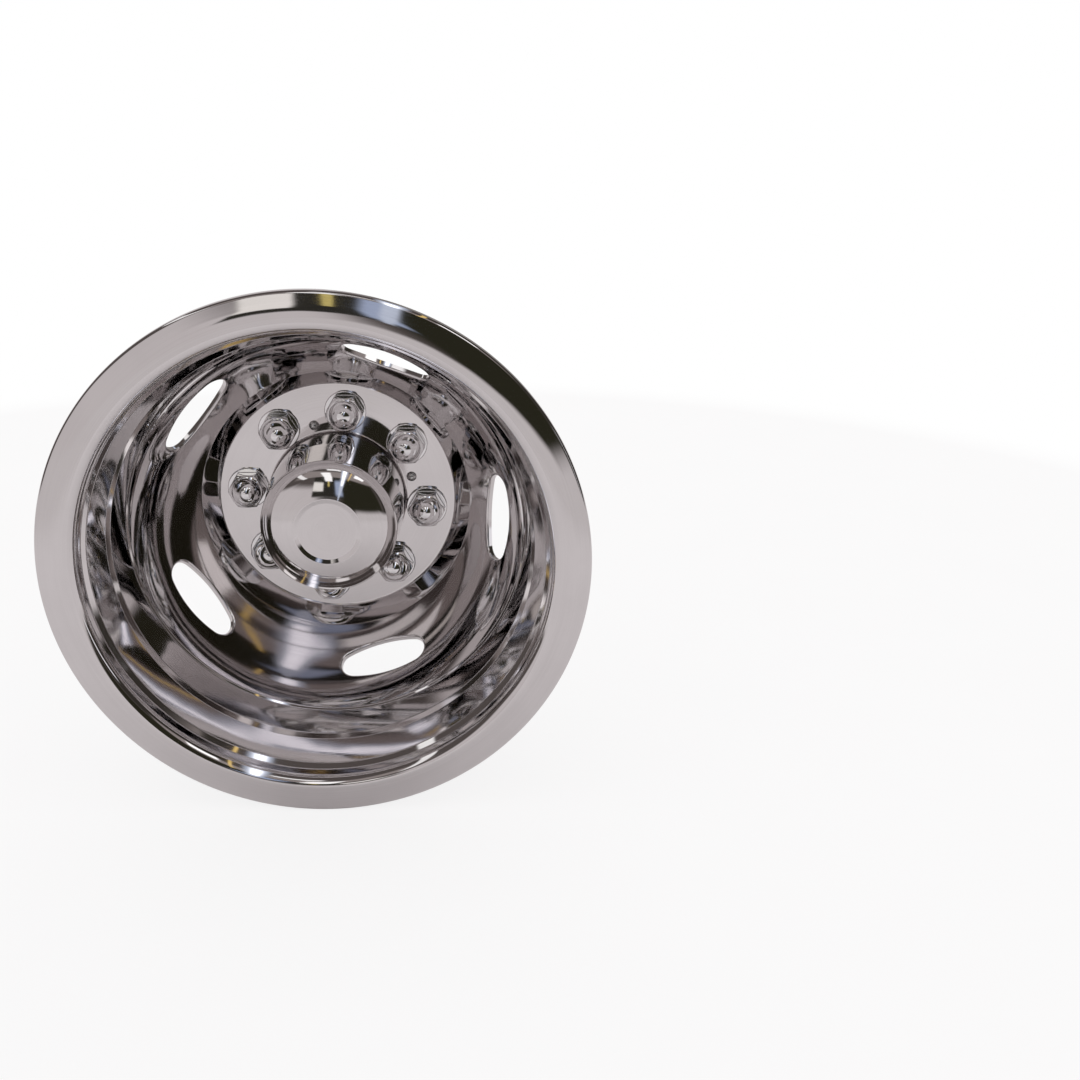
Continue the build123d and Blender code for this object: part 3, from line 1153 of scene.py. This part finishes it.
class Bench:
    """A node tree with short ways to add its nodes and join them."""

    def __init__(self, tree: bpy.types.NodeTree) -> None:
        """Start with an empty tree.

        Args:
            tree: The node tree of a material or of the world.
        """
        self.tree = tree
        tree.nodes.clear()

    def feed(self, socket: Socket, value: Feed) -> None:
        """Join a socket to another one, or set it to a number or colour.

        Args:
            socket: The input to fill.
            value: An output to join it to, or what it is set to.
        """
        if isinstance(value, bpy.types.NodeSocket):
            self.tree.links.new(value, socket)
        else:
            socket.default_value = value

    def add(self, kind: str, **inputs: Feed) -> bpy.types.Node:
        """Add a node and feed its inputs.

        Args:
            kind: The node's type.
            inputs: Input names, with _ for a blank, and what goes into them.

        Returns:
            The new node.
        """
        made = self.tree.nodes.new(kind)
        for name, value in inputs.items():
            self.feed(made.inputs[name.replace("_", " ")], value)
        return made

    def sum(self, way: str, *values: Feed) -> Socket:
        """Result of a Math node.

        Args:
            way: The node's operation.
            values: What goes into it.

        Returns:
            The result.
        """
        made = self.tree.nodes.new("ShaderNodeMath")
        made.operation = way
        for socket, value in zip(made.inputs, values):
            self.feed(socket, value)
        return made.outputs[0]

    def vector(self, way: str, value: Feed) -> bpy.types.Node:
        """A Vector Math node with one input.

        Args:
            way: The node's operation.
            value: What goes into it.

        Returns:
            The node.
        """
        made = self.tree.nodes.new("ShaderNodeVectorMath")
        made.operation = way
        self.feed(made.inputs[0], value)
        return made

    def ramp(self, value: Feed, low: float, high: float, bottom: float = 0.0, top: float = 1.0) -> Socket:
        """A value that climbs smoothly as its input goes from low to high.

        Args:
            value: The input.
            low: Input where the climb starts.
            high: Input where it ends.
            bottom: Result before the climb.
            top: Result after it.

        Returns:
            The result.
        """
        made = self.add("ShaderNodeMapRange", Value=value)
        made.interpolation_type = "SMOOTHSTEP"
        for name, number in (("From Min", low), ("From Max", high), ("To Min", bottom), ("To Max", top)):
            made.inputs[name].default_value = number
        return made.outputs[0]

    def window(self, value: Feed, low: float, high: float, soft: float) -> Socket:
        """One between two bounds and nothing outside, with soft edges.

        Args:
            value: The input.
            low: The lower bound.
            high: The upper bound.
            soft: How wide each edge is.

        Returns:
            The result.
        """
        rise = self.ramp(value, low - soft / 2, low + soft / 2)
        fall = self.ramp(value, high - soft / 2, high + soft / 2, 1.0, 0.0)
        return self.sum("MULTIPLY", rise, fall)

    def blend(self, share: Feed, first: Feed, second: Feed) -> Socket:
        """A colour between two.

        Args:
            share: From nothing, for the first colour, to one, for the second.
            first: The first colour.
            second: The second colour.

        Returns:
            The blended colour.
        """
        made = self.tree.nodes.new("ShaderNodeMix")
        made.data_type = "RGBA"
        colours = [item for item in made.inputs if item.type == "RGBA"]
        self.feed(made.inputs[0], share)
        for socket, value in zip(colours, (first, second)):
            self.feed(socket, (*value, 1.0) if isinstance(value, tuple) else value)
        return [item for item in made.outputs if item.type == "RGBA"][0]

    def noise(self, where: Feed, scale: float, detail: float, fourth: Feed | None = None) -> Socket:
        """Strength of a noise at a place.

        Args:
            where: The place.
            scale: How many blotches a metre holds.
            detail: How many finer layers it has.
            fourth: A fourth coordinate, if the noise needs one.

        Returns:
            The noise, from nothing to one.
        """
        made = self.tree.nodes.new("ShaderNodeTexNoise")
        made.noise_dimensions = "3D" if fourth is None else "4D"
        self.feed(made.inputs["Vector"], where)
        if fourth is not None:
            self.feed(made.inputs["W"], fourth)
        made.inputs["Scale"].default_value = scale
        made.inputs["Detail"].default_value = detail
        return made.outputs[0]


@dataclass(frozen=True)
class SteelFinish:
    """A worked steel surface: its colour, its polishing lines and how even the sheet lies."""

    slot: Slot
    tint: Colour
    shade: Colour
    smooth: float
    rough: float
    lines: float = 900.0
    line_depth: float = 0.000004
    wave: float = 16.0
    wave_depth: float = 0.0
    smudge: float = 22.0
    line_detail: float = 2.0
    smudge_detail: float = 4.0
    colour_reach: Corner = (0.35, 0.65)
    gloss_reach: Corner = (0.3, 0.7)

    def material(self) -> bpy.types.Material:
        """Make the material, or give back the one already made.

        Returns:
            A metal whose fine lines run round the axle.
        """
        name = f"{self.slot.value}_finish"
        if name in bpy.data.materials:
            return bpy.data.materials[name]
        made = bpy.data.materials.new(name)
        made.use_nodes = True
        bench = Bench(made.node_tree)
        place = bench.add("ShaderNodeTexCoord").outputs["Object"]
        split = bench.add("ShaderNodeSeparateXYZ", Vector=place)
        flat = bench.add("ShaderNodeCombineXYZ", X=split.outputs["X"], Z=split.outputs["Z"]).outputs[0]
        radius = bench.vector("LENGTH", flat).outputs["Value"]
        around = bench.add("ShaderNodeSeparateXYZ", Vector=bench.vector("NORMALIZE", flat).outputs["Vector"])
        lathe = bench.add("ShaderNodeCombineXYZ", X=bench.sum("MULTIPLY", radius, self.lines),
                          Y=bench.sum("MULTIPLY", split.outputs["Y"], self.lines),
                          Z=around.outputs["X"]).outputs[0]
        lines = bench.noise(lathe, 1.0, self.line_detail, around.outputs["Z"])
        smudge = bench.noise(place, self.smudge, self.smudge_detail)
        share = bench.sum("MULTIPLY", bench.sum("ADD", lines, smudge), 0.5)
        colour = bench.blend(bench.ramp(share, *self.colour_reach), self.tint, self.shade)
        gloss = bench.ramp(share, *self.gloss_reach, self.smooth, self.rough)
        grain = bench.add("ShaderNodeBump", Height=lines, Distance=self.line_depth)
        bump = grain.outputs[0]
        if self.wave_depth:
            waves = bench.noise(place, self.wave, 1.0)
            bump = bench.add("ShaderNodeBump", Height=waves, Distance=self.wave_depth,
                             Normal=bump).outputs[0]
        steel = bench.add("ShaderNodeBsdfPrincipled", Base_Color=colour, Metallic=1.0, Roughness=gloss,
                          Normal=bump)
        bench.add("ShaderNodeOutputMaterial", Surface=steel.outputs[0])
        return made


POLISHED = SteelFinish(Slot.LINER, (0.66, 0.635, 0.635), (0.63, 0.605, 0.605), 0.03, 0.07,
                       wave_depth=0.0004)
BRIGHT = SteelFinish(Slot.NUT_COVER, (0.76, 0.75, 0.755), (0.73, 0.72, 0.725), 0.02, 0.05, lines=2400.0,
                     line_depth=0.000001)
SPRING = SteelFinish(Slot.SPRING, (0.36, 0.355, 0.35), (0.28, 0.275, 0.27), 0.22, 0.34, smudge=160.0)
SATIN = SteelFinish(Slot.RIVET, (0.50, 0.495, 0.49), (0.44, 0.435, 0.43), 0.12, 0.2, smudge=220.0)


def settle(piece: bpy.types.Object, name: str, finish: SteelFinish, node: str) -> None:
    """Dress a standing piece and let it stand for its solid.

    Args:
        piece: The piece.
        name: Its name in the finished model.
        finish: What its surface is like.
        node: The solid that it stands for.
    """
    piece.name = piece.data.name = name
    piece.data.materials.clear()
    piece.data.materials.append(finish.material())
    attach(piece, BODY)
    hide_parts(node)
    LOG.info("%s stands for %s, %d faces", name, node, len(piece.data.polygons))


def set_out(model: bpy.types.Object, name: str, finish: SteelFinish, node: str, places: list[Vector]) -> None:
    """Set copies of a standing model out at their places, each with its own mesh.

    Args:
        model: The model, on the axle. It becomes the first piece.
        name: Name of the pieces, before their number.
        finish: What their surface is like.
        node: Name of the solids that they stand for, before their number.
        places: Where they go in the lying frame, in millimetres.
    """
    pieces = [model] + [twin(model) for _ in places[1:]]
    for number, (piece, place) in enumerate(zip(pieces, places), 1):
        piece.data.transform(Matrix.Translation(Vector((place.x, 0, place.y)) * MM))
        settle(piece, f"{name}_{number}", finish, f"{node}_{number}")


@dataclass
class WheelSimulator:
    """The whole cover: liner, hub cap, nut covers, their retainers and the hub's rivets."""

    layout: WheelLayout

    def add_liner(self) -> None:
        """Add the pressed liner."""
        liner = Liner(self.layout).build()
        stand_up(liner)
        true_normals(liner)
        settle(liner, "deep_liner", POLISHED, "liner")

    def add_hub_cap(self) -> None:
        """Add the drawn hub cap."""
        hub = HubCap(self.layout).build()
        stand_up(hub)
        true_normals(hub)
        settle(hub, "domed_hub_cap", POLISHED, "hub_cap")

    def add_nut_covers(self) -> None:
        """Add the eight nut covers."""
        layout = self.layout
        cover = NutCover(layout).build()
        stand_up(cover)
        true_normals(cover)
        set_out(cover, "bright_nut_cover", BRIGHT, "nut_cover",
                layout.places(layout.stud_circle, layout.first_stud, layout.stud_count))

    def add_rivets(self) -> None:
        """Add the four rivets of the hub cap."""
        layout = self.layout
        rivet = HubRivet(layout).build()
        stand_up(rivet)
        set_out(rivet, "domed_rivet", SATIN, "hub_rivet",
                layout.places(layout.rivet_circle, layout.first_hand_hole, layout.rivet_count))

    def dress_retainers(self) -> None:
        """Give the push-on rings behind the liner their spring steel."""
        for number in range(1, self.layout.stud_count + 1):
            ring = bpy.data.objects[f"nut_retainer_{number}"]
            for holder in ring.material_slots:
                holder.material = SPRING.material()
            LOG.info("%s dressed", ring.name)


@dataclass(frozen=True)
class Patch:
    """A patch of painted reflection, seen only by glossy rays, between two bounds each way, with soft edges.

    On a wall the bounds are degrees round from the front to the right and degrees up. On the
    ceiling they are shares of its height, to the right and to the back.
    """

    sides: Corner
    reach: Corner
    colour: Colour
    soft: Corner

    def over(self, bench: Bench, room: Feed, first: Feed, second: Feed) -> Socket:
        """Lay the patch of painted reflection over the room's colour.

        Args:
            bench: The world's nodes.
            room: The colour without the patch.
            first: The sideways coordinate.
            second: The other coordinate.

        Returns:
            The colour with the patch.
        """
        share = bench.sum("MULTIPLY", bench.window(first, *self.sides, self.soft[0]),
                          bench.window(second, *self.reach, self.soft[1]))
        return bench.blend(share, room, self.colour)


# Painted reflections: colours that only glossy rays see. They make the steel show a dim room with windows and
# lamps that light nothing.
PAINTED_PALE_REFLECTION = (0.70, 0.66, 0.665)
PAINTED_WALL_REFLECTIONS = (
    Patch((50, 135), (-30, 62), (0.045, 0.040, 0.034), (8, 10)),  # painted dark reflection on the right
    Patch((-179, -126), (-30, 60), PAINTED_PALE_REFLECTION, (14, 12)),  # painted reflection of a pale wall at the back, left
    Patch((130, 179), (-30, 50), (0.30, 0.28, 0.27), (14, 12)),  # painted reflection of a grey wall at the back, right
    Patch((-64, -3), (-30, 17), PAINTED_PALE_REFLECTION, (10, 8)),  # painted reflection of a pale wall in front, left
    Patch((-40, 62), (28, 46), (0.36, 0.32, 0.31), (12, 4)),  # painted reflection of a brown band high in front
    Patch((4, 46), (-4, 27), (0.028, 0.027, 0.017), (7, 5)),  # painted dark reflection in front, right
    Patch((-17, 6), (7, 27), (0.035, 0.033, 0.028), (1.5, 2.5)),  # painted dark reflection in the middle
    Patch((-17, -9), (13, 22), (1.05, 1.02, 0.98), (1.4, 2.0)),  # painted highlight of a lit window in that dark reflection
    Patch((-5.4, -4.0), (18, 27), (0.75, 0.62, 0.22), (0.4, 1.5)),  # painted warm highlight of a thin lamp
    Patch((0.5, 6.0), (9, 24), (0.45, 0.53, 0.72), (2.5, 4.0)),  # painted cool highlight beside it
    Patch((65, 72), (-25, 15), (1.1, 1.1, 1.15), (2, 4)),  # painted highlight of a lit slit in the dark reflection
)
# Painted highlights and reflections overhead, in shares of the ceiling's height. Several of them glow
# brighter than white.
PAINTED_CEILING_REFLECTIONS = (
    Patch((0.22, 0.39), (-9.0, 0.64), (0.70, 0.78, 0.94), (0.06, 0.2)),  # painted cool highlight of a long skylight
    Patch((0.26, 0.35), (-2.8, -0.1), (2.3, 2.4, 2.6), (0.05, 0.4)),  # its bright middle, a painted highlight
    Patch((0.47, 0.50), (-2.2, 0.3), (1.1, 0.80, 0.30), (0.01, 0.1)),  # painted warm highlight of a tube beside it
    Patch((-0.30, -0.06), (-2.3, -1.1), (1.5, 1.5, 1.5), (0.04, 0.1)),  # painted highlight of a pane in front, left
    Patch((0.60, 0.95), (-1.2, -0.6), (1.7, 1.7, 1.7), (0.05, 0.06)),  # painted highlight of a pane in front, right
    Patch((-0.12, 0.2), (-0.85, -0.6), (1.3, 1.3, 1.3), (0.05, 0.05)),  # painted highlight of a pane overhead
    Patch((-1.0, -0.82), (-1.8, 0.1), (1.2, 1.2, 1.2), (0.04, 0.1)),  # painted highlight of a pane far left
)


@dataclass(frozen=True)
class Studio:
    """Pale floor, plain white light, and a dim room painted into the world for glossy rays only, which the
    polished steel shows as painted reflections.
    """

    floor_height: float = -0.2222
    floor_radius: float = 1.6
    floor_fade: Corner = (1.0, 1.5)
    floor_colour: Colour = (0.80, 0.765, 0.775)
    floor_blotch: Colour = (0.785, 0.75, 0.76)
    floor_lift: float = 0.82
    blotch_size: float = 9.0
    blotch_detail: float = 3.0
    blotch_reach: Corner = (0.3, 0.7)
    floor_sides: int = 128
    # The next five fields set the painted reflection that only glossy rays see: where it turns pale below the
    # horizon, how low the ceiling is drawn, the white that everything else sees, its painted dark base, and
    # the pale painted reflection below the horizon and of the floor's far part.
    painted_reflection_horizon: Corner = (-7.0, -2.0)
    lowest_rise: float = 0.02
    white: Colour = (1.0, 1.0, 1.0)
    painted_dark_reflection: Colour = (0.11, 0.095, 0.09)
    wall: Colour = (0.72, 0.685, 0.69)

    def add_floor(self) -> None:
        """Add the round floor. It fades into the white behind it, and glossy rays see it fade into a pale
        painted reflection.
        """
        deselect_all()
        bpy.ops.mesh.primitive_circle_add(vertices=self.floor_sides, radius=self.floor_radius,
                                          fill_type="NGON", location=(0, 0, self.floor_height))
        floor = bpy.context.object
        floor.name = "pale_floor"
        bpy.ops.object.transform_apply(location=True, rotation=True, scale=True)
        made = bpy.data.materials.new("pale_floor_finish")
        made.use_nodes = True
        bench = Bench(made.node_tree)
        place = bench.add("ShaderNodeTexCoord").outputs["Object"]
        blotches = bench.ramp(bench.noise(place, self.blotch_size, self.blotch_detail), *self.blotch_reach)
        colour = bench.blend(blotches, self.floor_colour, self.floor_blotch)
        matt = bench.add("ShaderNodeBsdfDiffuse", Color=colour)
        fade = bench.ramp(bench.vector("LENGTH", place).outputs["Value"], *self.floor_fade)
        path = bench.add("ShaderNodeLightPath")
        camera, mirror = path.outputs["Is Camera Ray"], path.outputs["Is Glossy Ray"]
        # The floor's far part glows white to camera rays as backdrop. Glossy rays see it in the pale wall
        # colour instead, as a painted reflection.
        backdrop_and_painted_reflection = bench.blend(mirror, self.white, self.wall)
        backdrop_and_reflection_emission = bench.add("ShaderNodeEmission", Color=backdrop_and_painted_reflection, Strength=1.0)
        seen = bench.sum("ADD", bench.sum("ADD", camera, mirror), path.outputs["Is Transmission Ray"])
        far = bench.sum("MULTIPLY", fade, bench.sum("MINIMUM", seen, 1.0))
        near = bench.sum("MULTIPLY", camera, self.floor_lift)
        share = bench.sum("MAXIMUM", far, near)
        both = bench.add("ShaderNodeMixShader", Fac=share)
        bench.feed(both.inputs[1], matt.outputs[0])
        bench.feed(both.inputs[2], backdrop_and_reflection_emission.outputs[0])
        bench.add("ShaderNodeOutputMaterial", Surface=both.outputs[0])
        floor.data.materials.append(made)
        LOG.info("floor added")

    def add_light_and_painted_reflection(self) -> None:
        """Light everything from a plain white world. Only glossy rays see a dim room painted into it, as
        painted reflections on the steel.
        """
        world = bpy.data.worlds.new("soft_studio")
        world.use_nodes = True
        bpy.context.scene.world = world
        world.cycles.sampling_method = "NONE"
        bench = Bench(world.node_tree)
        room = self._painted_reflection(bench)
        # Glossy rays see the painted reflection room. Camera and diffuse rays see plain white.
        mirrored = bench.add("ShaderNodeLightPath").outputs["Is Glossy Ray"]
        seen = bench.blend(mirrored, self.white, room)
        light = bench.add("ShaderNodeBackground", Color=seen, Strength=1.0)
        bench.add("ShaderNodeOutputWorld", Surface=light.outputs[0])
        LOG.info("room added")

    def _painted_reflection(self, bench: Bench) -> Socket:
        """Colour of the painted reflection room in each direction.

        Args:
            bench: The world's nodes.

        Returns:
            The colour.
        """
        way = bench.add("ShaderNodeSeparateXYZ", Vector=bench.add("ShaderNodeTexCoord").outputs["Generated"])
        right, back, up = (way.outputs[name] for name in "XYZ")
        turn = bench.sum("DEGREES", bench.sum("ARCTAN2", right, bench.sum("MULTIPLY", back, -1.0)))
        rise = bench.sum("DEGREES", bench.sum("ARCSINE", up))
        lifted = bench.sum("MAXIMUM", up, self.lowest_rise)
        across = bench.sum("DIVIDE", right, lifted)
        along = bench.sum("DIVIDE", back, lifted)
        room: Feed = self.painted_dark_reflection
        for patch in PAINTED_WALL_REFLECTIONS:
            room = patch.over(bench, room, turn, rise)
        for patch in PAINTED_CEILING_REFLECTIONS:
            room = patch.over(bench, room, across, along)
        # Below the horizon the painted reflection turns to the pale wall colour.
        return bench.blend(bench.ramp(rise, *self.painted_reflection_horizon, 1.0, 0.0), room, self.wall)


@dataclass(frozen=True)
class PhotoCamera:
    """Camera at the photograph's viewing angle."""

    place: Vector = Vector((0.130, -1.2181, 0.3914))
    forward: Vector = Vector((0.0452, 0.9409, -0.3355))
    up: Vector = Vector((0.0, 0.3358, 0.9419))
    lens: float = 45.53
    sensor: float = 36.0

    def add(self) -> None:
        """Add the camera and make it the scene's own."""
        data = bpy.data.cameras.new("photo_camera")
        data.lens, data.sensor_width, data.sensor_fit = self.lens, self.sensor, "HORIZONTAL"
        camera = bpy.data.objects.new("photo_camera", data)
        bpy.context.scene.collection.objects.link(camera)
        right = self.forward.cross(self.up).normalized()
        level = right.cross(self.forward).normalized()
        turn = Matrix((right, level, -self.forward.normalized())).transposed()
        camera.matrix_world = Matrix.Translation(self.place) @ turn.to_4x4()
        bpy.context.scene.camera = camera
        LOG.info("camera added")


def main() -> None:
    """Build the cover, its studio and its camera."""
    logging.basicConfig(level=logging.INFO, format="%(name)s: %(message)s")
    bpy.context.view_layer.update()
    PhotoCamera().add()
    cover = WheelSimulator(WheelLayout())
    cover.add_liner()
    cover.add_hub_cap()
    cover.add_nut_covers()
    cover.add_rivets()
    cover.dress_retainers()
    studio = Studio()
    studio.add_floor()
    studio.add_light_and_painted_reflection()
    bpy.context.scene.view_settings.view_transform = "Standard"


if __name__ == "__main__":
    main()
